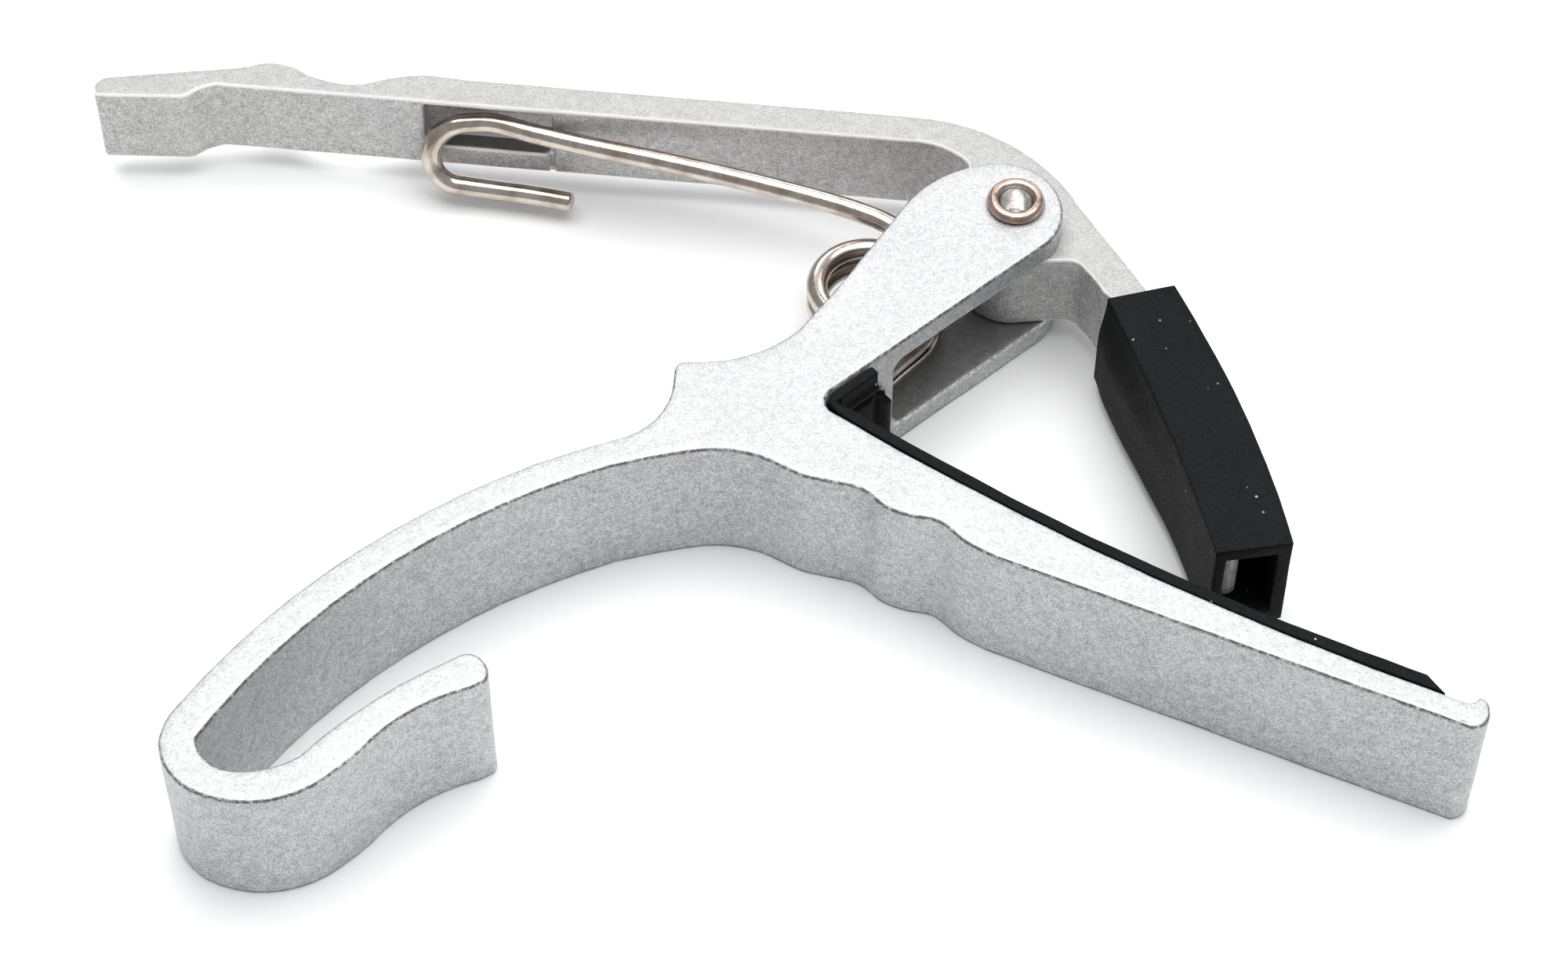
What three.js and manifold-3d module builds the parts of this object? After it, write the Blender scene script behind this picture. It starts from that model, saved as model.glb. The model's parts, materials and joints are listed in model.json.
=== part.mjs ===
// Spring-loaded guitar capo: a cast body and a cast lever on a rivet, held shut by a torsion spring.
// Millimetres. The capo lies flat: X runs along the handles, Z is its thickness, Z = 0 is its underside.
// Plan shapes are drawn about the pivot axis, and PIVOT places that axis in the part's own frame.
import * as THREE from 'three';
import { mergeVertices } from 'three/addons/utils/BufferGeometryUtils.js';
import Module from 'manifold-3d';

const wasm = await Module();
wasm.setup();

// ---- driving dimensions ----
const PIVOT = new THREE.Vector3(20.137, 18.749, 0);
const BODY_THICK = 12;
const EAR_THICK = 2.1;
const BORE_R = 1.9;
const COUNTERBORE_R = 2.4;
const COUNTERBORE_DEEP = 0.8;
const RIVET_SHAFT_R = 1.82;
const RIVET_HOLE_R = 1.2;
const RIVET_HEAD_R = 2.2;
const RIVET_RIM_HIGH = 0.8;
const RIVET_HOLE_DEEP = 1.9;
const RIVET_HOLE_DISH = 0.35;
const RIVET_SUNK = 0.15;
const LEVER_Z = [2.3, 9.7];
const TONGUE_Z = [2.75, 9.25];
const SLEEVE_Z = [1.3, 10.7];
const SLEEVE_INNER_WALL = 0.75;
const SLEEVE_OUTER_WALL = 1.2;
const SLEEVE_TONGUE_GAP = 0.25;
const PAD_Z = [0.2, 11.8];
const PAD_GAP = 0.15;
const PAD_FACE = 1.0;
const LEAF_FACE = 0.9;
const LEAF_TOP = 4.6;
const POCKET_DEEP = 1.05;
const POCKET_Z = [1.2, 10.9];
const HEEL_START = 0.75;
const HEEL_CORNER = { s: 1.45, z: 3.4, bow: 0.75 };
const POST_S = [6.15, 7.1];
const POST_DEEP = 1.6;
const SLOT_FILLET = 1.0;
const LEG_CHANNEL = { s: 4.1, v: 3.8 };
const WIRE_R = 0.8;
const COIL = { x: -10.85, y: -3.5, r: 4.2, bottom: 3.4, top: 7.35, start: 15, turns: 2 };
const NOTCH = { x0: -45.9, x1: -35.8, deep: 1.5, z0: 4.5, z1: 9.1, ribEnd: -36.2, ribGap: 0.35 };
const FACET = 0.02;

// Neck axes: s runs up the neck's right face from the crotch, v points into the neck.
const CROTCH = new THREE.Vector2(-14.63, -18.46);
const NECK_ANGLE = THREE.MathUtils.degToRad(40.8);
const ALONG_NECK = new THREE.Vector2(Math.cos(NECK_ANGLE), Math.sin(NECK_ANGLE));
const INTO_NECK = new THREE.Vector2(-ALONG_NECK.y, ALONG_NECK.x);

// The clamping arm's long inner face, a shallow hollow arc.
const ARM = { start: new THREE.Vector2(-13.9, -20.0), end: new THREE.Vector2(28.7, -44.5), bow: -1.35 };

// The sleeve's four corners in plan: inner side A to B, outer side C to D.
const SLEEVE = {
  a: new THREE.Vector2(6.7, -8.1),
  b: new THREE.Vector2(13.5, -31.6),
  c: new THREE.Vector2(11.8, -6.8),
  d: new THREE.Vector2(19.1, -30.7),
  innerBow: 0.35,
  outerBow: 0.8,
};

// ---- plan outlines ----
// An outline is walked from point to point, straight, round an arc, or through a smooth run of points.
// An arc's bow is how far it stands off its chord, positive to the left of the walk.
class Outline {
  constructor(x, y) {
    this.points = [new THREE.Vector2(x, y)];
  }

  last() {
    return this.points[this.points.length - 1];
  }

  line(x, y) {
    this.points.push(new THREE.Vector2(x, y));
    return this;
  }

  arc(x, y, bow) {
    const from = this.last();
    const chord = new THREE.Vector2(x, y).sub(from);
    const half = chord.length() / 2;
    const radius = (half * half + bow * bow) / (2 * Math.abs(bow));
    const left = new THREE.Vector2(-chord.y, chord.x).normalize();
    const centre = from.clone().addScaledVector(chord, 0.5);
    centre.addScaledVector(left, bow - Math.sign(bow) * radius);
    const sweep = -Math.sign(bow) * 4 * Math.atan(Math.abs(bow) / half);
    const steps = Math.max(2, Math.ceil(Math.abs(sweep) / (2 * Math.acos(1 - FACET / radius))));
    for (let i = 1; i < steps; i++) {
      this.points.push(from.clone().rotateAround(centre, (sweep * i) / steps));
    }
    return this.line(x, y);
  }

  // Closes the outline with an arc back to its first point.
  close(bow) {
    this.arc(this.points[0].x, this.points[0].y, bow).points.pop();
    return this;
  }

  through(...stops) {
    const knots = [this.last(), ...stops.map(([x, y]) => new THREE.Vector2(x, y))];
    const curve = new THREE.SplineCurve(knots);
    const steps = 4 * (knots.length - 1);
    for (let i = 1; i <= steps; i++) this.points.push(curve.getPoint(i / steps));
    return this;
  }

  slab(z0, z1) {
    const options = { depth: z1 - z0, bevelEnabled: false, steps: 1 };
    return new THREE.ExtrudeGeometry(new THREE.Shape(this.points), options).translate(0, 0, z0);
  }
}

function outlineOf(points) {
  const made = new Outline(points[0].x, points[0].y);
  for (const p of points.slice(1)) made.line(p.x, p.y);
  return made;
}

function neckPoint(s, v) {
  return CROTCH.clone().addScaledVector(ALONG_NECK, s).addScaledVector(INTO_NECK, v);
}

function neckBlock(s0, s1, v0, v1, z0, z1) {
  const corners = [neckPoint(s0, v0), neckPoint(s1, v0), neckPoint(s1, v1), neckPoint(s0, v1)];
  return outlineOf(corners).slab(z0, z1);
}

function disc(r, z0, z1, sides = 40) {
  const made = new THREE.CylinderGeometry(r, r, z1 - z0, sides);
  return made.rotateX(Math.PI / 2).translate(0, 0, (z0 + z1) / 2);
}

// ---- solids ----
function solid(geometry) {
  const bare = geometry.clone();
  bare.deleteAttribute('normal');
  bare.deleteAttribute('uv');
  const merged = mergeVertices(bare, 1e-4);
  const triVerts = new Uint32Array(merged.index.array);
  const vertProperties = new Float32Array(merged.attributes.position.array);
  return new wasm.Manifold(new wasm.Mesh({ numProp: 3, vertProperties, triVerts }));
}

function cut(blank, ...tools) {
  return tools.reduce((left, tool) => left.subtract(solid(tool)), solid(blank));
}

function join(...pieces) {
  return pieces.map(solid).reduce((all, piece) => all.add(piece));
}

function geometryOf(manifold) {
  const mesh = manifold.getMesh();
  const made = new THREE.BufferGeometry();
  made.setAttribute('position', new THREE.BufferAttribute(mesh.vertProperties, 3));
  made.setIndex(new THREE.BufferAttribute(mesh.triVerts, 1));
  const flat = made.toNonIndexed();
  flat.computeVertexNormals();
  return flat;
}

function wire(points, steps, sides = 10) {
  const section = new THREE.Shape().absarc(0, 0, WIRE_R, 0, 2 * Math.PI);
  const path = new THREE.CatmullRomCurve3(points, false, 'centripetal');
  const options = { steps, extrudePath: path, curveSegments: sides / 2, bevelEnabled: false };
  return new THREE.ExtrudeGeometry(section, options);
}

// ---- body casting: clamping arm, curved handle with its bridge-pin hook, and the slotted neck ----
function bodyOutline() {
  return new Outline(ARM.start.x, ARM.start.y)
    // clamping arm: its long inner face, the end lip, and the outer face back to the finger waves
    .arc(ARM.end.x, ARM.end.y, ARM.bow)
    .line(29.9, -45.05)
    .arc(30.9, -44.55, -0.2)
    .arc(31.5, -45.8, 0.25)
    .arc(30.1, -47.25, 0.45)
    .line(-2.6, -32.85)
    .through([-4.6, -31.6], [-6.4, -29.85], [-8.6, -29.3], [-10.3, -28.5], [-11.9, -27.0], [-14.3, -26.3],
      [-16.3, -25.75], [-19.3, -24.1], [-22.4, -23.5], [-26.0, -24.0], [-30.0, -25.05])
    // curved handle and the hook at its end
    .arc(-56.6, -46.5, -2.8)
    .line(-57.9, -48.6)
    .arc(-55.4, -51.15, -0.6)
    .arc(-50.7, -50.0, -0.45)
    .arc(-40.4, -41.7, 0.6)
    .arc(-38.6, -41.75, 0.35)
    .arc(-38.1, -43.7, 0.3)
    .line(-39.2, -44.35)
    .arc(-46.5, -49.6, -0.75)
    .arc(-49.5, -52.4, 0.1)
    .arc(-58.0, -52.8, 1.2)
    .arc(-60.5, -48.9, 0.55)
    .arc(-59.5, -45.9, 0.25)
    .arc(-30.0, -22.6, 3.2)
    // neck: its back with the small knob, the ears round the pivot, and the right face
    .line(-28.9, -22.2)
    .arc(-25.7, -17.5, -0.79)
    .line(-25.6, -16.1)
    .arc(-24.6, -15.3, 0.3)
    .line(-23.3, -15.3)
    .arc(-16.4, -12.2, -0.75)
    .line(-14.1, -9.0)
    .line(-8.1, 0.4)
    .arc(-2.6, 4.0, 0.62)
    .arc(3.0, 1.7, 1.06)
    .arc(2.4, -3.75, 0.85)
    .line(1.3, -4.7)
    .line(-14.1, -18.0)
    .close(-0.5);
}

// A solid with the given side view, s along and z up, from v = deep in the neck to v = -front before it.
function sideBlock(view, deep, front) {
  const u = new THREE.Vector3(ALONG_NECK.x, ALONG_NECK.y, 0);
  const out = new THREE.Vector3(-INTO_NECK.x, -INTO_NECK.y, 0);
  const place = new THREE.Matrix4().makeBasis(u, out.clone().cross(u), out);
  const at = neckPoint(0, deep);
  return view.slab(0, deep + front).applyMatrix4(place.setPosition(at.x, at.y, 0));
}

// The slot between the ears, its end at the post rounded above and below.
function leverSlotBlock(low, high) {
  const bow = -0.293 * SLOT_FILLET;
  const view = new Outline(POST_S[1] + SLOT_FILLET, low)
    .line(40, low)
    .line(40, high)
    .line(POST_S[1] + SLOT_FILLET, high)
    .arc(POST_S[1], high - SLOT_FILLET, bow)
    .line(POST_S[1], low + SLOT_FILLET)
    .close(bow);
  return sideBlock(view, 25, 1);
}

// A block with one rounded top corner, shrunk by a gap all round.
function heelBlock(gap, deep, front) {
  const low = POCKET_Z[0] + gap;
  const high = POCKET_Z[1] - gap;
  const far = POST_S[0] - gap;
  const view = new Outline(HEEL_START + gap, low)
    .line(far, low)
    .line(far, high - HEEL_CORNER.z)
    .arc(far - HEEL_CORNER.s, high, HEEL_CORNER.bow)
    .line(HEEL_START + gap, high);
  return sideBlock(view, deep, front);
}

function bodyCasting() {
  const slotZ = [EAR_THICK, BODY_THICK - EAR_THICK];
  const leverSlot = leverSlotBlock(...slotZ);
  const legChannel = neckBlock(LEG_CHANNEL.s, POST_S[1] + 0.5, POST_DEEP, LEG_CHANNEL.v, ...slotZ);
  const bore = disc(BORE_R, -1, BODY_THICK + 1);
  const counterbore = disc(COUNTERBORE_R, -1, COUNTERBORE_DEEP);
  const blank = bodyOutline().slab(0, BODY_THICK);
  return geometryOf(cut(blank, leverSlot, legChannel, heelBlock(0, POCKET_DEEP, 1), bore, counterbore));
}

// ---- lever casting: thumb lever with finger waves, hub, and the tongue that fills the sleeve ----
function acrossSleeve() {
  const along = SLEEVE.b.clone().sub(SLEEVE.a).normalize();
  return new THREE.Vector2(-along.y, along.x);
}

function leverOutline() {
  const inset = acrossSleeve().multiplyScalar(SLEEVE_INNER_WALL + SLEEVE_TONGUE_GAP);
  const entry = SLEEVE.a.clone().add(inset);
  const tip = SLEEVE.a.clone().lerp(SLEEVE.b, 0.9).add(inset);
  return new Outline(-71.6, 12.75)
    // inner face, with a step up to the long straight stretch
    .line(-65.0, 12.6)
    .through([-64.4, 12.8], [-63.4, 13.5], [-62.2, 13.95])
    .line(-7.9, 8.4)
    .arc(-3.3, 6.2, 0.55)
    .line(-3.7, 1.2)
    // hub
    .arc(0.5, -3.87, -1.8)
    .line(2.5, -3.65)
    .line(3.9, -3.6)
    .arc(5.2, -4.4, 0.25)
    .arc(6.5, -6.6, 0.1)
    // tongue
    .line(entry.x, entry.y)
    .arc(tip.x, tip.y, 0.3)
    .arc(tip.x + 1.9, tip.y - 0.1, -0.75)
    .arc(9.9, -6.4, -0.45)
    // outer face back to the end of the handle
    .line(5.2, 1.7)
    .arc(-7.9, 11.0, -2.25)
    .line(-42.6, 14.6)
    .through([-44.4, 14.9], [-46.3, 15.1], [-48.6, 14.75], [-51.3, 14.05], [-54.4, 14.75], [-56.3, 15.9],
      [-58.3, 16.3], [-60.4, 15.8], [-62.6, 15.55])
    .line(-70.4, 14.75)
    .arc(-71.8, 13.6, -0.35);
}

// Height of the lever's straight inner face at x.
function leverFaceY(x) {
  return 8.4 - ((13.95 - 8.4) / (62.2 - 7.9)) * (x + 7.9);
}

// A pocket in the lever's inner face between two places along it.
function facePocket(x0, x1, deep, z0, z1) {
  return new Outline(x0, leverFaceY(x0) - 1)
    .line(x1, leverFaceY(x1) - 1)
    .line(x1, leverFaceY(x1) + deep)
    .line(x0, leverFaceY(x0) + deep)
    .slab(z0, z1);
}

function leverCasting() {
  const reach = acrossSleeve().multiplyScalar(3);
  const mouthA = SLEEVE.a.clone().sub(reach).add(new THREE.Vector2(-0.1, 0.25));
  const mouthC = SLEEVE.c.clone().add(reach).add(new THREE.Vector2(-0.1, 0.25));
  const below = () => new Outline(mouthA.x, mouthA.y)
    .line(mouthC.x, mouthC.y)
    .line(mouthC.x + 10, mouthC.y - 35)
    .line(mouthA.x, mouthA.y - 35);
  return geometryOf(cut(
    leverOutline().slab(...LEVER_Z),
    below().slab(LEVER_Z[0] - 1, TONGUE_Z[0]),
    below().slab(TONGUE_Z[1], LEVER_Z[1] + 1),
    facePocket(NOTCH.x0, NOTCH.x1, NOTCH.deep, NOTCH.z0, NOTCH.z1),
    facePocket(NOTCH.ribEnd, NOTCH.x1, NOTCH.ribGap, LEVER_Z[0] - 1, NOTCH.z0 + 0.5),
    disc(BORE_R, LEVER_Z[0] - 1, LEVER_Z[1] + 1),
  ));
}

// ---- semi-tubular rivet: a rolled rim round a blind hole on top, and a flat head let into the lower ear ----
function pivotRivet() {
  const top = BODY_THICK + 0.02;
  const lowHead = COUNTERBORE_DEEP - 0.05;
  const middle = (RIVET_HEAD_R + RIVET_HOLE_R) / 2;
  const roll = (RIVET_HEAD_R - RIVET_HOLE_R) / 2;
  const profile = [
    [0, RIVET_SUNK],
    [RIVET_HEAD_R, RIVET_SUNK],
    [RIVET_HEAD_R, lowHead],
    [RIVET_SHAFT_R, lowHead],
    [RIVET_SHAFT_R, top],
    [RIVET_HEAD_R, top],
  ];
  for (let i = 1; i <= 8; i++) {
    const turn = (Math.PI * i) / 8;
    profile.push([middle + roll * Math.cos(turn), top + RIVET_RIM_HIGH * Math.sin(turn)]);
  }
  profile.push([RIVET_HOLE_R, top - RIVET_HOLE_DEEP], [0, top - RIVET_HOLE_DEEP - RIVET_HOLE_DISH]);
  const points = profile.map(([r, z]) => new THREE.Vector2(r, z));
  return new THREE.LatheGeometry(points, 40).rotateX(Math.PI / 2);
}

// ---- spring: one round wire in two pieces, the coil with its short leg, and the long leg with its hook ----
function coilPoint(turned) {
  const angle = THREE.MathUtils.degToRad(COIL.start) + turned * 2 * Math.PI;
  const z = COIL.bottom + ((COIL.top - COIL.bottom) * turned) / COIL.turns;
  return new THREE.Vector3(COIL.x + COIL.r * Math.cos(angle), COIL.y + COIL.r * Math.sin(angle), z);
}

function springCoil() {
  const leg = [[-11.85, -12.64], [-9.05, -9.52], [-6.86, -7.09], [-6.2, -5.3], [-6.2, -3.7]];
  const points = leg.map(([x, y]) => new THREE.Vector3(x, y, COIL.bottom));
  const stops = 12 * COIL.turns;
  for (let i = 0; i <= stops; i++) points.push(coilPoint((COIL.turns * i) / stops));
  return wire(points, 62);
}

function springArm() {
  const leg = [
    [-6.9, -2.0, 7.35], [-7.35, -0.75, 7.35], [-8.1, 0.5, 7.35], [-9.4, 1.75, 7.35], [-11.3, 2.8, 7.4],
    [-14.6, 4.15, 7.4], [-20.7, 6.15, 7.45], [-26.8, 7.9, 7.5], [-33.0, 9.55, 7.5], [-37.2, 10.78, 7.55],
    [-40.3, 11.85, 7.5],
  ].map((p) => new THREE.Vector3(...p));
  // The hook turns round the lever's rib: half a circle in a plane that leans with the wire.
  const centre = new THREE.Vector3(-42.7, 11.1, 4.65);
  const up = new THREE.Vector3(0.07, 0.36, 0.93).normalize();
  const bend = 2.8;
  for (let i = 0; i <= 8; i++) {
    const turn = (Math.PI * i) / 8;
    const p = centre.clone().addScaledVector(up, bend * Math.cos(turn));
    leg.push(p.add(new THREE.Vector3(-bend * Math.sin(turn), 0, 0)));
  }
  const tail = [[-41.0, 10.0, 1.95], [-37.6, 9.3, 1.9], [-34.6, 8.6, 1.9]];
  return wire([...leg, ...tail.map((p) => new THREE.Vector3(...p))], 84);
}

// ---- rubber parts ----
function jawSleeve() {
  const across = acrossSleeve();
  const side = (corner, d) => corner.clone().addScaledVector(across, d);
  const shell = new Outline(SLEEVE.a.x, SLEEVE.a.y)
    .arc(SLEEVE.b.x, SLEEVE.b.y, SLEEVE.innerBow)
    .line(SLEEVE.d.x, SLEEVE.d.y)
    .arc(SLEEVE.c.x, SLEEVE.c.y, -SLEEVE.outerBow)
    .slab(...SLEEVE_Z);
  const along = SLEEVE.b.clone().sub(SLEEVE.a).normalize();
  const past = (p, d) => p.clone().addScaledVector(along, d);
  const a = past(side(SLEEVE.a, SLEEVE_INNER_WALL), -2);
  const b = past(side(SLEEVE.b, SLEEVE_INNER_WALL), 2);
  const c = past(side(SLEEVE.c, -SLEEVE_OUTER_WALL), -2);
  const d = past(side(SLEEVE.d, -SLEEVE_OUTER_WALL), 2);
  const hollow = new Outline(a.x, a.y)
    .arc(b.x, b.y, SLEEVE.innerBow)
    .line(d.x, d.y)
    .arc(c.x, c.y, -SLEEVE.outerBow)
    .slab(TONGUE_Z[0] - SLEEVE_TONGUE_GAP, TONGUE_Z[1] + SLEEVE_TONGUE_GAP);
  return geometryOf(cut(shell, hollow));
}

// The pad is one L of rubber: a strip along the arm, a leaf up the neck, and a heel that fills the pocket.
function stringPad() {
  const rise = new THREE.Vector2(-ARM.end.y + ARM.start.y, ARM.end.x - ARM.start.x).normalize();
  const along = new THREE.Vector2(rise.y, -rise.x);
  const onArm = (from, d, up) => from.clone().addScaledVector(along, d).addScaledVector(rise, up);
  const root = onArm(ARM.start, 0.6, PAD_GAP);
  const toe = onArm(ARM.end, -0.2, PAD_GAP);
  const toeFace = onArm(ARM.end, -2.0, PAD_FACE);
  const rootFace = onArm(ARM.start, 1.0, PAD_FACE);
  const strip = new Outline(root.x, root.y)
    .arc(toe.x, toe.y, ARM.bow)
    .line(toeFace.x, toeFace.y)
    .arc(rootFace.x, rootFace.y, -ARM.bow)
    .slab(...PAD_Z);
  const leaf = neckBlock(0.6, LEAF_TOP, -LEAF_FACE, -PAD_GAP, ...PAD_Z);
  const elbow = new Outline(-14.0, -18.2)
    .line(-14.25, -18.95)
    .line(-13.55, -19.95)
    .line(-12.6, -20.4)
    .line(-12.3, -19.75)
    .line(-13.75, -18.9)
    .line(-13.4, -18.6)
    .slab(...PAD_Z);
  const heel = heelBlock(PAD_GAP, POCKET_DEEP - PAD_GAP, LEAF_FACE);
  return geometryOf(join(strip, leaf, elbow, heel));
}

// ---- the assembled capo ----
function part(name, geometry, color, roughness, metalness) {
  const material = new THREE.MeshStandardMaterial({ color, roughness, metalness });
  const mesh = new THREE.Mesh(geometry, material);
  mesh.name = name;
  return mesh;
}

const SILVER_PAINT = [0xc9ccce, 0.45, 0.6];
const RIVET_BRONZE = [0xb08d6a, 0.3, 1.0];
const SPRING_NICKEL = [0xb9b2a8, 0.22, 1.0];
const BLACK_RUBBER = [0x1c1f21, 0.75, 0.0];

const capo = new THREE.Group();
capo.position.copy(PIVOT);
capo.add(part('body_casting', bodyCasting(), ...SILVER_PAINT));
capo.add(part('lever_casting', leverCasting(), ...SILVER_PAINT));
capo.add(part('pivot_rivet', pivotRivet(), ...RIVET_BRONZE));
capo.add(part('spring_coil', springCoil(), ...SPRING_NICKEL));
capo.add(part('spring_arm', springArm(), ...SPRING_NICKEL));
capo.add(part('jaw_sleeve', jawSleeve(), ...BLACK_RUBBER));
capo.add(part('string_pad', stringPad(), ...BLACK_RUBBER));

export default capo;
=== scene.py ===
"""Looks of the guitar capo: castings, rivet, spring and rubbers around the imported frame. Metres."""

import json
import math

import bmesh
import bpy
from mathutils import Matrix, Vector, noise

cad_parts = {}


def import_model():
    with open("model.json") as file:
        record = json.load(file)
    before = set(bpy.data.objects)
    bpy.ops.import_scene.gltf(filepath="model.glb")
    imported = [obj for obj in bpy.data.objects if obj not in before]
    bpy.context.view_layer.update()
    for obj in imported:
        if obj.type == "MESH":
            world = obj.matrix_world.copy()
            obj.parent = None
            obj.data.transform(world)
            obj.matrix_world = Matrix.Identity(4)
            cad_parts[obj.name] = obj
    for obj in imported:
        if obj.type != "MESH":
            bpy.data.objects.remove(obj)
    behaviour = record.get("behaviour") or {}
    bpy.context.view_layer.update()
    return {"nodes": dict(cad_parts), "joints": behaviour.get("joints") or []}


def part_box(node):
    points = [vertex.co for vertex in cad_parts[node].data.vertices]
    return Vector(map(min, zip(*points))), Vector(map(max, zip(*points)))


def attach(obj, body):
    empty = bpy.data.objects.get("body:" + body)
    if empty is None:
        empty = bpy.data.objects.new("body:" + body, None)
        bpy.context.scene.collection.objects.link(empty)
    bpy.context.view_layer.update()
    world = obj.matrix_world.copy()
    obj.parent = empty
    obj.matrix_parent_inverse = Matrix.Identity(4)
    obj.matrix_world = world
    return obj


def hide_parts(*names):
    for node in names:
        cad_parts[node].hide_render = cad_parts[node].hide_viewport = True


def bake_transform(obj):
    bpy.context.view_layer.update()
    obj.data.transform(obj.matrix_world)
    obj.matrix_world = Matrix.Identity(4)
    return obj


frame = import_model()

MM = 0.001
PIVOT = Vector(frame["joints"][0]["pos_m"])
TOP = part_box("body_casting")[1].z

# Faces of a CAD solid that meet at less than this are one flat face.
FLATNESS = math.radians(0.6)

# Camera: where it looks, how far it stands off, and its tilt.
LOOK_AT = Vector((2.65, 1.45, 0.0)) * MM
CAMERA_ELEVATION = math.radians(53.33)
CAMERA_ROLL = math.radians(0.29)
CAMERA_DISTANCE = 308.8 * MM
LENS = 93.6

# Castings: radius of their rounded edges, longest mesh edge, and the height and width of their waves
BODY_EDGE = 0.27 * MM
LEVER_EDGE = 0.28 * MM
CAST_DETAIL = 0.9 * MM
CAST_WAVE = 0.035 * MM
CAST_WAVE_WIDTH = 4.0 * MM

# Rubbers: the same
RUBBER_EDGE = 0.10 * MM
SLEEVE_DETAIL = 0.8 * MM
PAD_DETAIL = 0.35 * MM
RUBBER_WAVE = 0.05 * MM
RUBBER_WAVE_WIDTH = 5.0 * MM

# In mm, in plan about the pivot. The neck's right face: where it starts at the crotch, and the way it runs.
CROTCH = Vector((-14.63, -18.46))
NECK_ANGLE = math.radians(40.8)
NECK_WAY = Vector((math.cos(NECK_ANGLE), math.sin(NECK_ANGLE)))
INTO_NECK = Vector((-NECK_WAY.y, NECK_WAY.x))

# The heel of the pad: its top, and its far end along the neck
HEEL_TOP = 10.75
HEEL_FAR = 6.0

# The inner side of the sleeve: its upper end, the way it runs, and the way it faces
SLEEVE_TOP = Vector((6.7, -8.1))
SLEEVE_WAY = Vector((6.8, -23.5)).normalized()
SLEEVE_OUT = Vector((SLEEVE_WAY.y, -SLEEVE_WAY.x))
SLEEVE_BULGE = 0.8

# Rivet, in mm
RIVET_HOLE_R = 1.2
RIVET_HEAD_R = 2.2
RIVET_SHANK_R = 1.8
RIM_LOW = 0.25
RIM_ROLL = 0.55

# Spring: the wire, and the coil's centre, radius, heights, start in degrees and turns
WIRE_R = 0.8 * MM
COIL_CENTRE = (-10.85, -3.5)
COIL_R = 4.2
COIL_Z = (3.4, 7.35)
COIL_START = 15.0
COIL_TURNS = 2.0
HOOK_BEND = 2.8 * MM
WIRE_STOPS = 520


# ---- mesh helpers ----
def link(name, mesh):
    piece = bpy.data.objects.new(name, mesh)
    bpy.context.scene.collection.objects.link(piece)
    return piece


def object_from(bm, name):
    mesh = bpy.data.meshes.new(name)
    bm.to_mesh(mesh)
    bm.free()
    return link(name, mesh)


def round_edges(piece, edge, segments):
    """Rounds the edges that carry bevel weight, and makes the result the piece's own mesh."""
    bevel = piece.modifiers.new("bevel", "BEVEL")
    bevel.width = edge
    bevel.segments = segments
    bevel.limit_method = "WEIGHT"
    bevel.use_clamp_overlap = False
    bevel.harden_normals = False
    graph = bpy.context.evaluated_depsgraph_get()
    graph.update()
    made = bpy.data.meshes.new_from_object(piece.evaluated_get(graph))
    piece.modifiers.clear()
    piece.data = made


def clean_copy(node):
    """The node's solid as a bmesh with welded corners and whole flat faces."""
    bm = bmesh.new()
    bm.from_mesh(frame["nodes"][node].data)
    bmesh.ops.remove_doubles(bm, verts=bm.verts, dist=2e-6)
    bmesh.ops.dissolve_limit(bm, angle_limit=FLATNESS, verts=bm.verts, edges=bm.edges)
    return bm


def flat_mm(point):
    """A point's place in plan about the pivot, in mm."""
    return Vector((point.x - PIVOT.x, point.y - PIVOT.y)) / MM


def neck_place(point):
    """How far a point is up the neck's right face, and how deep in the neck, in mm."""
    off = flat_mm(point) - CROTCH
    return off.dot(NECK_WAY), off.dot(INTO_NECK)


def kept_crisp(node, edge):
    """Whether an edge lies in the heel's pocket, or in the narrow groove at the end of the lever's rib."""
    middle = (edge.verts[0].co + edge.verts[1].co) / 2
    height = middle.z / MM
    if node == "body_casting":
        s, v = neck_place(middle)
        return 0.5 < s < 6.4 and -0.1 < v < 1.2 and 1.0 < height < 11.1
    if node == "lever_casting":
        x, y = flat_mm(middle)
        return -36.3 < x < -35.7 and y < 12.1 and height < 4.7
    return False


def rounded(node, name, edge, segments, angle):
    """A copy of a CAD node, its edges sharper than the angle in degrees rounded."""
    bm = clean_copy(node)
    weight = bm.edges.layers.float.new("bevel_weight_edge")
    for e in bm.edges:
        sharp = len(e.link_faces) == 2 and e.calc_face_angle() > math.radians(angle)
        e[weight] = float(sharp and not kept_crisp(node, e))
    piece = object_from(bm, name)
    round_edges(piece, edge, segments)
    return piece


def refine(piece, longest):
    """Splits long edges, so that the surface can carry fine unevenness."""
    bm = bmesh.new()
    bm.from_mesh(piece.data)
    bmesh.ops.triangulate(bm, faces=bm.faces)
    for _ in range(7):
        long_edges = [e for e in bm.edges if e.calc_length() > longest]
        if not long_edges:
            break
        bmesh.ops.subdivide_edges(bm, edges=long_edges, cuts=1)
        bmesh.ops.triangulate(bm, faces=[f for f in bm.faces if len(f.verts) > 3])
    bm.to_mesh(piece.data)
    bm.free()


def shade(piece, angle):
    piece.data.shade_smooth()
    piece.data.set_sharp_from_angle(angle=math.radians(angle))


def waver(piece, height, width, seed):
    """Pushes each point along its normal by smooth noise, as a casting or moulding is never true."""
    offset = Vector((seed, seed * 0.7, seed * 1.3))
    normals = [v.normal.copy() for v in piece.data.vertices]
    for vertex, normal in zip(piece.data.vertices, normals):
        where = vertex.co / width + offset
        vertex.co += normal * (height * noise.fractal(where, 1.0, 2.0, 3))


def adopt(piece, body, material, slot, *nodes):
    """Puts a finished piece on its body, in place of CAD nodes, with its material."""
    piece.data.materials.clear()
    piece.data.materials.append(material)
    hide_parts(*nodes)
    if body:
        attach(piece, body)
    return piece


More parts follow.
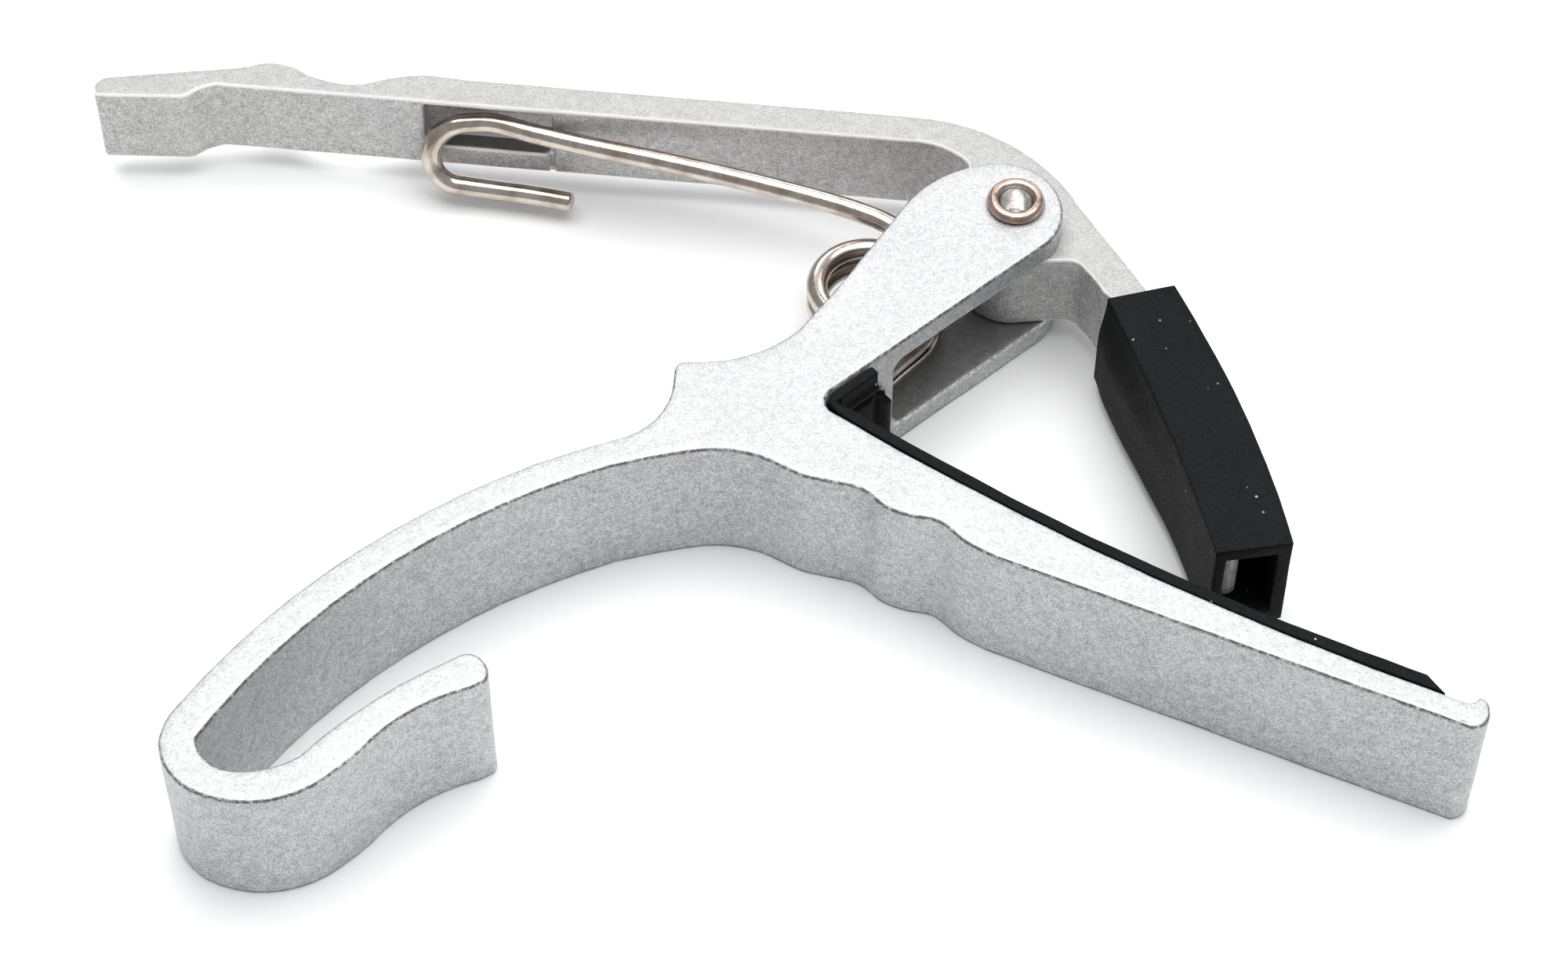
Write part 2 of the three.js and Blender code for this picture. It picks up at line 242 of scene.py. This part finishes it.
# ---- material helpers ----
class Nodes:
    """A material's node tree, with short calls for the nodes used here."""

    def __init__(self, name):
        self.material = bpy.data.materials.new(name)
        self.material.use_nodes = True
        self.tree = self.material.node_tree
        self.shader = self.tree.nodes["Principled BSDF"]
        self.place = self.add("ShaderNodeTexCoord").outputs["Object"]
        self.geometry = self.add("ShaderNodeNewGeometry")

    def add(self, kind, **values):
        node = self.tree.nodes.new(kind)
        for key, value in values.items():
            setattr(node, key, value)
        return node

    def put(self, socket, value):
        if isinstance(value, bpy.types.NodeSocket):
            self.tree.links.new(value, socket)
        else:
            socket.default_value = value

    def noise(self, per_mm, detail=3.0, rough=0.55, stretch=(1, 1, 1)):
        mapping = self.add("ShaderNodeMapping")
        self.put(mapping.inputs["Vector"], self.place)
        mapping.inputs["Scale"].default_value = stretch
        node = self.add("ShaderNodeTexNoise")
        self.put(node.inputs["Vector"], mapping.outputs["Vector"])
        node.inputs["Scale"].default_value = per_mm / MM
        node.inputs["Detail"].default_value = detail
        node.inputs["Roughness"].default_value = rough
        return node.outputs["Fac"]

    def cells(self, per_mm):
        """Distance to the nearest of a scatter of points."""
        node = self.add("ShaderNodeTexVoronoi", feature="F1")
        self.put(node.inputs["Vector"], self.place)
        node.inputs["Scale"].default_value = per_mm / MM
        return node.outputs["Distance"]

    def math(self, operation, a, b=0.0, clamp=False):
        node = self.add("ShaderNodeMath", operation=operation, use_clamp=clamp)
        self.put(node.inputs[0], a)
        self.put(node.inputs[1], b)
        return node.outputs[0]

    def band(self, value, low, high, out_low=0.0, out_high=1.0):
        """A value between low and high, eased to lie between out_low and out_high."""
        node = self.add("ShaderNodeMapRange", interpolation_type="SMOOTHSTEP")
        for socket, v in zip(node.inputs, (value, low, high, out_low, out_high)):
            self.put(socket, v)
        return node.outputs["Result"]

    def blend(self, factor, a, b):
        node = self.add("ShaderNodeMix", data_type="RGBA")
        self.put(node.inputs["Factor"], factor)
        self.put(node.inputs["A"], a)
        self.put(node.inputs["B"], b)
        return node.outputs["Result"]

    def split(self, vector):
        node = self.add("ShaderNodeSeparateXYZ")
        self.put(node.inputs[0], vector)
        return node.outputs

    def bump(self, height, depth_mm, strength=1.0, normal=None):
        node = self.add("ShaderNodeBump")
        node.inputs["Strength"].default_value = strength
        node.inputs["Distance"].default_value = depth_mm * MM
        self.put(node.inputs["Height"], height)
        if normal is not None:
            self.put(node.inputs["Normal"], normal)
        return node.outputs["Normal"]

    def finish(self, color, roughness, metallic, normal=None, specular=0.5):
        self.put(self.shader.inputs["Base Color"], color)
        self.put(self.shader.inputs["Roughness"], roughness)
        self.put(self.shader.inputs["Metallic"], metallic)
        self.put(self.shader.inputs["Specular IOR Level"], specular)
        if normal is not None:
            self.put(self.shader.inputs["Normal"], normal)
        return self.material


def grey(value, warm=0.0):
    """A grey, warmer for warm above 0 and cooler below."""
    return (value * (1 + warm), value, value * (1 - warm), 1.0)


# ---- materials ----
def cast_paint(name, tone, top_shading_share, warm, metallic, edge_tone, mid_edge_tone, edge_strength, whole):
    """Silver paint on a casting: metallic grain, mottling, and edge lines that are partly worn paint and
    partly painted highlight and shadow on the rounded edges.

    tone is the paint's lightness, and the top share its share on faces that look up: painted shade,
    darkening the top faces where it is under 1. Edges between the top and the underside take mid_edge_tone,
    and whole is how unbroken the edge lines are."""
    n = Nodes(name)
    rise = n.split(n.geometry.outputs["Normal"])[2]
    height = n.split(n.place)[2]
    flake = n.noise(5.8, 2.0, 0.8)
    mottle = n.noise(1.5, 4.0, 0.65)
    cloud = n.noise(0.12, 3.0, 0.5)
    level = n.math("ADD", n.band(flake, 0.32, 0.68, -0.42, 0.42), n.band(mottle, 0.3, 0.7, -0.18, 0.18))
    level = n.math("ADD", level, n.band(cloud, 0.3, 0.7, -0.06, 0.06))
    level = n.math("ADD", level, 0.5, clamp=True)
    paint = n.blend(level, grey(tone * 0.60, warm), grey(min(1.0, tone * 1.40), warm))
    # dark specks, where dirt sits in the grain
    speck = n.band(n.cells(1.3), 0.06, 0.13, 1.0, 0.0)
    speck = n.math("MULTIPLY", speck, n.band(n.noise(0.45, 2.0), 0.56, 0.64))
    paint = n.blend(n.math("MULTIPLY", speck, 0.45), paint, grey(0.12, 0.1))
    # faces that look up have a finer, more even tone, scaled by the top share: painted shade that darkens
    # the lever's top
    top_shaded_tone = tone * top_shading_share
    on_top_shaded = n.blend(level, grey(top_shaded_tone * 0.78, warm), grey(min(1.0, top_shaded_tone * 1.22), warm))
    paint = n.blend(n.band(rise, 0.8, 0.97), paint, on_top_shaded)
    # painted shade: the floor of the slot is darkened, unevenly, where it lies in shadow
    slot_floor_shade = n.math("MULTIPLY", n.band(rise, 0.6, 0.9), n.band(height, 4.0 * MM, 6.0 * MM, 1.0, 0.0))
    slot_floor_shade = n.math("MULTIPLY", slot_floor_shade, n.band(mottle, 0.2, 0.8, 0.6, 0.85))
    paint = n.blend(slot_floor_shade, paint, grey(0.08, 0.05))
    # a rounded edge is where the surface is neither level nor upright
    tilt = n.math("ABSOLUTE", rise)
    edge = n.math("MULTIPLY", n.band(tilt, 0.10, 0.35), n.band(tilt, 0.80, 0.97, 1.0, 0.0))
    ragged = n.band(n.noise(2.2, 4.0, 0.7), 0.36 - whole, 0.56 - whole)
    edge = n.math("MULTIPLY", edge, ragged)
    below_top = n.band(height, TOP - 1.4 * MM, TOP - 0.9 * MM, 1.0, 0.0)
    between = n.math("MULTIPLY", n.band(height, 0.8 * MM, 1.2 * MM), below_top)
    # edge lines: partly chipped paint, partly painted shadow where the tone is dark and painted highlight
    # where it is pale
    line = n.blend(between, edge_tone, mid_edge_tone)
    color = n.blend(n.math("MULTIPLY", edge, edge_strength), paint, line)
    rough = n.band(flake, 0.3, 0.7, 0.36, 0.52)
    normal = n.bump(mottle, 0.08, 0.5, n.bump(flake, 0.05, 0.8))
    return n.finish(color, rough, metallic, normal)


def rivet_metal():
    """Copper-toned rivet: a polished rim, with painted shade where it meets the ear, and bare steel in its
    hole.
    """
    n = Nodes("rivet_copper")
    turned = n.noise(3.0, 3.0, 0.6)
    patch = n.noise(0.9, 3.0, 0.6)
    color = n.blend(n.band(patch, 0.35, 0.65), (0.36, 0.25, 0.20, 1), (0.52, 0.41, 0.35, 1))
    x, y, height = n.split(n.place)
    # painted shade at the foot of the rim, where it meets the ear
    low = n.band(height, TOP + 0.05 * MM, TOP + 0.4 * MM, 1.0, 0.0)
    color = n.blend(n.math("MULTIPLY", low, 0.75), color, (0.13, 0.08, 0.06, 1))
    off_x = n.math("POWER", n.math("SUBTRACT", x, PIVOT.x), 2.0)
    off_y = n.math("POWER", n.math("SUBTRACT", y, PIVOT.y), 2.0)
    inside = n.band(n.math("SQRT", n.math("ADD", off_x, off_y)), 1.25 * MM, 1.4 * MM, 1.0, 0.0)
    steel = n.blend(n.band(patch, 0.4, 0.6), (0.55, 0.53, 0.52, 1), (0.85, 0.84, 0.83, 1))
    color = n.blend(inside, color, steel)
    rough = n.band(turned, 0.3, 0.7, 0.18, 0.38)
    return n.finish(color, rough, 1.0, n.bump(turned, 0.008, 0.5))


def spring_wire():
    """Bright nickel-plated wire, with faint drawing lines and a brown tint in the plating."""
    n = Nodes("spring_nickel")
    patch = n.noise(0.5, 3.0, 0.6)
    fine = n.noise(7.0, 2.0, 0.6)
    color = n.blend(n.band(patch, 0.35, 0.68), (0.62, 0.57, 0.52, 1), (0.44, 0.36, 0.30, 1))
    rough = n.band(fine, 0.3, 0.7, 0.12, 0.24)
    return n.finish(color, rough, 1.0, n.bump(fine, 0.006, 0.5))


def rubber(name, streak):
    """Matt black moulded rubber: fine pores, upright streaks as strong as streak, and white dust."""
    n = Nodes(name)
    pores = n.noise(6.0, 3.0, 0.65)
    lines = n.noise(2.6, 3.0, 0.6, stretch=(1, 1, 0.12))
    wide = n.noise(0.25, 3.0, 0.5)
    faint = n.band(wide, 0.3, 0.7, 0.0, 0.35)
    level = n.math("ADD", n.band(lines, 0.3, 0.7, 0.0, streak), faint, clamp=True)
    color = n.blend(level, (0.0016, 0.0019, 0.0023, 1), (0.0055, 0.006, 0.007, 1))
    dust = n.band(n.cells(0.7), 0.045, 0.09, 1.0, 0.0)
    dust = n.math("MULTIPLY", dust, n.band(n.noise(0.3, 2.0), 0.50, 0.58))
    color = n.blend(n.math("MULTIPLY", dust, 0.7), color, (0.55, 0.55, 0.55, 1))
    rough = n.band(pores, 0.3, 0.7, 0.55, 0.78)
    normal = n.bump(lines, 0.03, 0.35, n.bump(pores, 0.02, 0.5))
    return n.finish(color, rough, 0.0, normal, specular=0.14)


# edge tones: the dark one is partly worn paint and partly painted contact shadow; the pale one is partly
# chipped paint and partly painted bevel highlight
DARK_EDGE_WEAR_AND_SHADOW = (0.085, 0.070, 0.058, 1)
PALE_EDGE_WEAR_AND_HIGHLIGHT = (0.93, 0.91, 0.86, 1)
BODY_PAINT = cast_paint("cast_body_silver", tone=0.50, top_shading_share=1.0, warm=-0.012, metallic=0.45,
                        edge_tone=DARK_EDGE_WEAR_AND_SHADOW, mid_edge_tone=PALE_EDGE_WEAR_AND_HIGHLIGHT, edge_strength=0.85, whole=0.0)
# painted shade: the lever's top faces take a smaller share of the tone
LEVER_PAINT = cast_paint("cast_lever_silver", tone=0.50, top_shading_share=0.80, warm=0.012, metallic=0.25,
                         edge_tone=PALE_EDGE_WEAR_AND_HIGHLIGHT, mid_edge_tone=PALE_EDGE_WEAR_AND_HIGHLIGHT, edge_strength=1.0, whole=0.2)
RIVET_METAL = rivet_metal()
SPRING_METAL = spring_wire()
SLEEVE_RUBBER = rubber("sleeve_rubber", 0.55)
PAD_RUBBER = rubber("pad_rubber", 0.3)


# ---- castings ----
def casting(node, name, edge, seed):
    piece = rounded(node, name, edge, segments=3, angle=32.0)
    refine(piece, CAST_DETAIL)
    waver(piece, CAST_WAVE, CAST_WAVE_WIDTH, seed)
    shade(piece, 35)
    return piece


# ---- rivet ----
def lathe(name, profile, centre, sides=96):
    """Turns an outline of (radius, height) points, from axis to axis, round an upright axis."""
    bm = bmesh.new()
    rings = []
    for i in range(sides):
        a = 2 * math.pi * i / sides
        rings.append([bm.verts.new((centre.x + r * math.cos(a), centre.y + r * math.sin(a), z))
                      for r, z in profile])
    for i in range(sides):
        here, there = rings[i], rings[(i + 1) % sides]
        for k in range(len(profile) - 1):
            bm.faces.new((here[k], there[k], there[k + 1], here[k + 1]))
    bmesh.ops.remove_doubles(bm, verts=bm.verts, dist=1e-8)
    bmesh.ops.recalc_face_normals(bm, faces=bm.faces)
    return object_from(bm, name)


def rivet_piece():
    """Semi-tubular rivet: a rolled rim round a blind hole on top, and a flat head in the lower ear."""
    middle = (RIVET_HOLE_R + RIVET_HEAD_R) / 2
    roll = (RIVET_HEAD_R - RIVET_HOLE_R) / 2
    top = TOP / MM
    # dished floor of the hole and its wall
    profile = [(0, top - 2.2), (0.4, top - 2.17), (0.75, top - 2.05), (1.0, top - 1.85), (1.12, top - 1.6),
               (1.17, top - 1.0), (1.19, top - 0.2)]
    # rolled rim
    for i in range(17):
        a = math.pi * (1.0 - i / 16)
        profile.append((middle + roll * math.cos(a), top + RIM_LOW + RIM_ROLL * math.sin(a)))
    profile += [(RIVET_HEAD_R - 0.04, top + 0.12), (RIVET_HEAD_R - 0.14, top + 0.03),
                (RIVET_SHANK_R + 0.04, top + 0.01)]
    # shank and flat head
    profile += [(RIVET_SHANK_R, top - 0.1), (RIVET_SHANK_R, 0.85), (RIVET_SHANK_R + 0.04, 0.75),
                (2.1, 0.74), (2.19, 0.65), (RIVET_HEAD_R, 0.3), (2.12, 0.17), (1.9, 0.15), (0, 0.15)]
    piece = lathe("rivet", [(r * MM, z * MM) for r, z in profile], PIVOT)
    waver(piece, 0.015 * MM, 1.6 * MM, 5.0)
    shade(piece, 60)
    return piece


# ---- spring ----
def smooth_path(points, steps):
    """Catmull-Rom curve through the points, with evenly spaced stops."""
    dense = []
    padded = [points[0] * 2 - points[1]] + points + [points[-1] * 2 - points[-2]]
    for i in range(len(points) - 1):
        p0, p1, p2, p3 = padded[i:i + 4]
        for k in range(12):
            t = k / 12
            dense.append(0.5 * ((2 * p1) + (p2 - p0) * t + (2 * p0 - 5 * p1 + 4 * p2 - p3) * t * t
                                + (3 * p1 - p0 - 3 * p2 + p3) * t ** 3))
    dense.append(points[-1].copy())
    lengths = [0.0]
    for a, b in zip(dense, dense[1:]):
        lengths.append(lengths[-1] + (b - a).length)
    stops, k = [], 0
    for i in range(steps + 1):
        want = lengths[-1] * i / steps
        while k < len(dense) - 2 and lengths[k + 1] < want:
            k += 1
        share = (want - lengths[k]) / max(1e-12, lengths[k + 1] - lengths[k])
        stops.append(dense[k].lerp(dense[k + 1], share))
    return stops


def tube(name, path, radius, sides=20):
    """A round wire along a path, with slightly rounded cut ends."""
    bm = bmesh.new()
    rings = []
    side = Vector((0, 0, 1))
    last = len(path) - 1
    # each section's place on the path, its shift along it and its size, both as shares of the radius
    stations = [(0, 0.0, 0.55), (0, 0.12, 0.9), (0, 0.3, 1.0)]
    stations += [(i, 0.0, 1.0) for i in range(1, last)]
    stations += [(last, -0.3, 1.0), (last, -0.12, 0.9), (last, 0.0, 0.55)]
    for i, shift, scale in stations:
        ahead = (path[min(i + 1, last)] - path[max(i - 1, 0)]).normalized()
        side = (side - ahead * side.dot(ahead)).normalized()
        other = ahead.cross(side)
        centre = path[i] + ahead * (shift * radius)
        rings.append([bm.verts.new(centre + (side * math.cos(a) + other * math.sin(a)) * radius * scale)
                      for a in (2 * math.pi * k / sides for k in range(sides))])
    for here, there in zip(rings, rings[1:]):
        for k in range(sides):
            m = (k + 1) % sides
            bm.faces.new((here[k], here[m], there[m], there[k]))
    bm.faces.new(list(reversed(rings[0])))
    bm.faces.new(rings[-1])
    bmesh.ops.recalc_face_normals(bm, faces=bm.faces)
    return object_from(bm, name)


def at_pivot(x, y, z):
    """A point given in mm, in plan about the pivot and up from the underside."""
    return Vector((PIVOT.x + x * MM, PIVOT.y + y * MM, z * MM))


def coil_point(turned):
    angle = math.radians(COIL_START) + 2 * math.pi * turned
    z = COIL_Z[0] + (COIL_Z[1] - COIL_Z[0]) * turned / COIL_TURNS
    return at_pivot(COIL_CENTRE[0] + COIL_R * math.cos(angle), COIL_CENTRE[1] + COIL_R * math.sin(angle), z)


def spring_piece():
    """The whole spring as one wire: short leg, coil, long leg, and the hook round the lever's rib."""
    short = [(-11.85, -12.64), (-9.05, -9.52), (-6.86, -7.09), (-6.2, -5.3), (-6.2, -3.7)]
    points = [at_pivot(x, y, COIL_Z[0]) for x, y in short]
    stops = 36
    points += [coil_point(COIL_TURNS * i / stops) for i in range(stops + 1)]
    leg = [(-6.9, -2.0, 7.35), (-7.35, -0.75, 7.35), (-8.1, 0.5, 7.35), (-9.4, 1.75, 7.35),
           (-11.3, 2.8, 7.4), (-14.6, 4.15, 7.4), (-20.7, 6.15, 7.45), (-26.8, 7.9, 7.5),
           (-33.0, 9.55, 7.5), (-37.2, 10.78, 7.55), (-40.3, 11.85, 7.5)]
    points += [at_pivot(*p) for p in leg]
    centre = at_pivot(-42.7, 11.1, 4.65)
    up = Vector((0.07, 0.36, 0.93)).normalized()
    for i in range(9):
        turn = math.pi * i / 8
        aside = Vector((HOOK_BEND * math.sin(turn), 0, 0))
        points.append(centre + up * (HOOK_BEND * math.cos(turn)) - aside)
    points += [at_pivot(*p) for p in ((-40.9, 9.85, 1.9), (-37.6, 9.3, 1.9), (-34.3, 8.6, 1.9))]
    piece = tube("spring", smooth_path(points, WIRE_STOPS), WIRE_R)
    shade(piece, 50)
    return piece


# ---- rubbers ----
def fade(value, near, far):
    """1 up to near, 0 from far on, smooth between."""
    t = min(1.0, max(0.0, (value - near) / (far - near)))
    return 1.0 - t * t * (3.0 - 2.0 * t)


def push(vertex, way, distance):
    """Moves a vertex level, distance mm along a plan direction."""
    vertex.co.x += way.x * distance * MM
    vertex.co.y += way.y * distance * MM


def bulge_sleeve(piece):
    """The sleeve's inner side stands out low on its upper half, where the jaw's root stretches it."""
    for vertex in piece.data.vertices:
        off = flat_mm(vertex.co) - SLEEVE_TOP
        if off.dot(SLEEVE_OUT) < -0.45:
            continue
        along = off.dot(SLEEVE_WAY)
        share = fade(along, 4.0, 19.0) * (1.0 - 0.4 * fade(along, 0.0, 3.0))
        push(vertex, SLEEVE_OUT, SLEEVE_BULGE * share * fade(vertex.co.z / MM, 5.5, 10.6))


def shape_heel(piece):
    """The heel's front: a rounded lip under the top strip, turning down at the post, and a crease."""
    for vertex in piece.data.vertices:
        s, v = neck_place(vertex.co)
        z = vertex.co.z / MM
        if not (0.6 < s < 6.2 and -1.1 < v < -0.5 and 1.0 < z < 11.0):
            continue
        inset = min(HEEL_TOP - z, (HEEL_FAR - s) * 1.1 + max(0.0, s - 5.0) * 0.3)
        lip = 0.22 * fade(abs(inset - 0.7), 0.0, 0.6)
        crease = 0.30 * fade(abs(inset - 1.65), 0.0, 0.45)
        push(vertex, INTO_NECK, crease - lip)


def rubber_piece(node, name, detail, seed, shape):
    piece = rounded(node, name, RUBBER_EDGE, segments=2, angle=30.0)
    refine(piece, detail)
    waver(piece, RUBBER_WAVE, RUBBER_WAVE_WIDTH, seed)
    shape(piece)
    shade(piece, 40)
    return piece


# ---- pieces on their bodies ----
adopt(casting("body_casting", "cast_body", BODY_EDGE, 1.0), "frame", BODY_PAINT,
      "cast_body_paint", "body_casting")
adopt(casting("lever_casting", "cast_lever", LEVER_EDGE, 9.0), "lever", LEVER_PAINT,
      "cast_lever_paint", "lever_casting")
adopt(rivet_piece(), "frame", RIVET_METAL, "rivet_metal", "pivot_rivet")
adopt(rubber_piece("jaw_sleeve", "sleeve", SLEEVE_DETAIL, 3.0, bulge_sleeve), "lever", SLEEVE_RUBBER,
      "sleeve_rubber", "jaw_sleeve")
adopt(rubber_piece("string_pad", "pad", PAD_DETAIL, 4.0, shape_heel), "frame", PAD_RUBBER,
      "pad_rubber", "string_pad")
spring = adopt(spring_piece(), None, SPRING_METAL, "spring_wire", "spring_coil", "spring_arm")
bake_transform(spring)


# ---- stage: floor, lights, camera ----
def floor():
    bm = bmesh.new()
    bmesh.ops.create_grid(bm, x_segments=1, y_segments=1, size=1.5)
    piece = object_from(bm, "floor")
    n = Nodes("floor_white")
    tint = n.noise(0.02, 3.0, 0.5)
    piece.data.materials.append(n.finish(n.blend(tint, grey(0.90), grey(0.93)), 0.6, 0.0))


def area_light(name, where, size, power):
    data = bpy.data.lights.new(name, "AREA")
    data.shape = "RECTANGLE"
    data.size, data.size_y = size
    data.energy = power
    lamp = bpy.data.objects.new(name, data)
    lamp.location = where
    lamp.rotation_mode = "QUATERNION"
    lamp.rotation_quaternion = (Vector(where) - LOOK_AT).to_track_quat("Z", "Y")
    bpy.context.scene.collection.objects.link(lamp)


def camera():
    data = bpy.data.cameras.new("camera")
    data.lens = LENS
    data.sensor_width = 36.0
    data.clip_start, data.clip_end = 0.01, 10.0
    eye = bpy.data.objects.new("camera", data)
    away = Vector((0, -math.cos(CAMERA_ELEVATION), math.sin(CAMERA_ELEVATION)))
    place = Matrix.Translation(LOOK_AT + away * CAMERA_DISTANCE)
    tilt = Matrix.Rotation(math.pi / 2 - CAMERA_ELEVATION, 4, "X")
    eye.matrix_world = place @ tilt @ Matrix.Rotation(CAMERA_ROLL, 4, "Z")
    bpy.context.scene.collection.objects.link(eye)
    bpy.context.scene.camera = eye


def world():
    made = bpy.data.worlds.new("studio")
    bpy.context.scene.world = made
    made.use_nodes = True
    back = made.node_tree.nodes["Background"]
    back.inputs["Color"].default_value = (0.96, 0.98, 1.0, 1.0)
    back.inputs["Strength"].default_value = 0.43


floor()
world()
area_light("overhead", (0.05, 0.12, 0.80), (1.0, 0.8), 9.4)
area_light("back", (0.10, 0.75, 0.45), (0.9, 0.3), 1.7)
camera()
bpy.context.scene.view_settings.view_transform = "Standard"
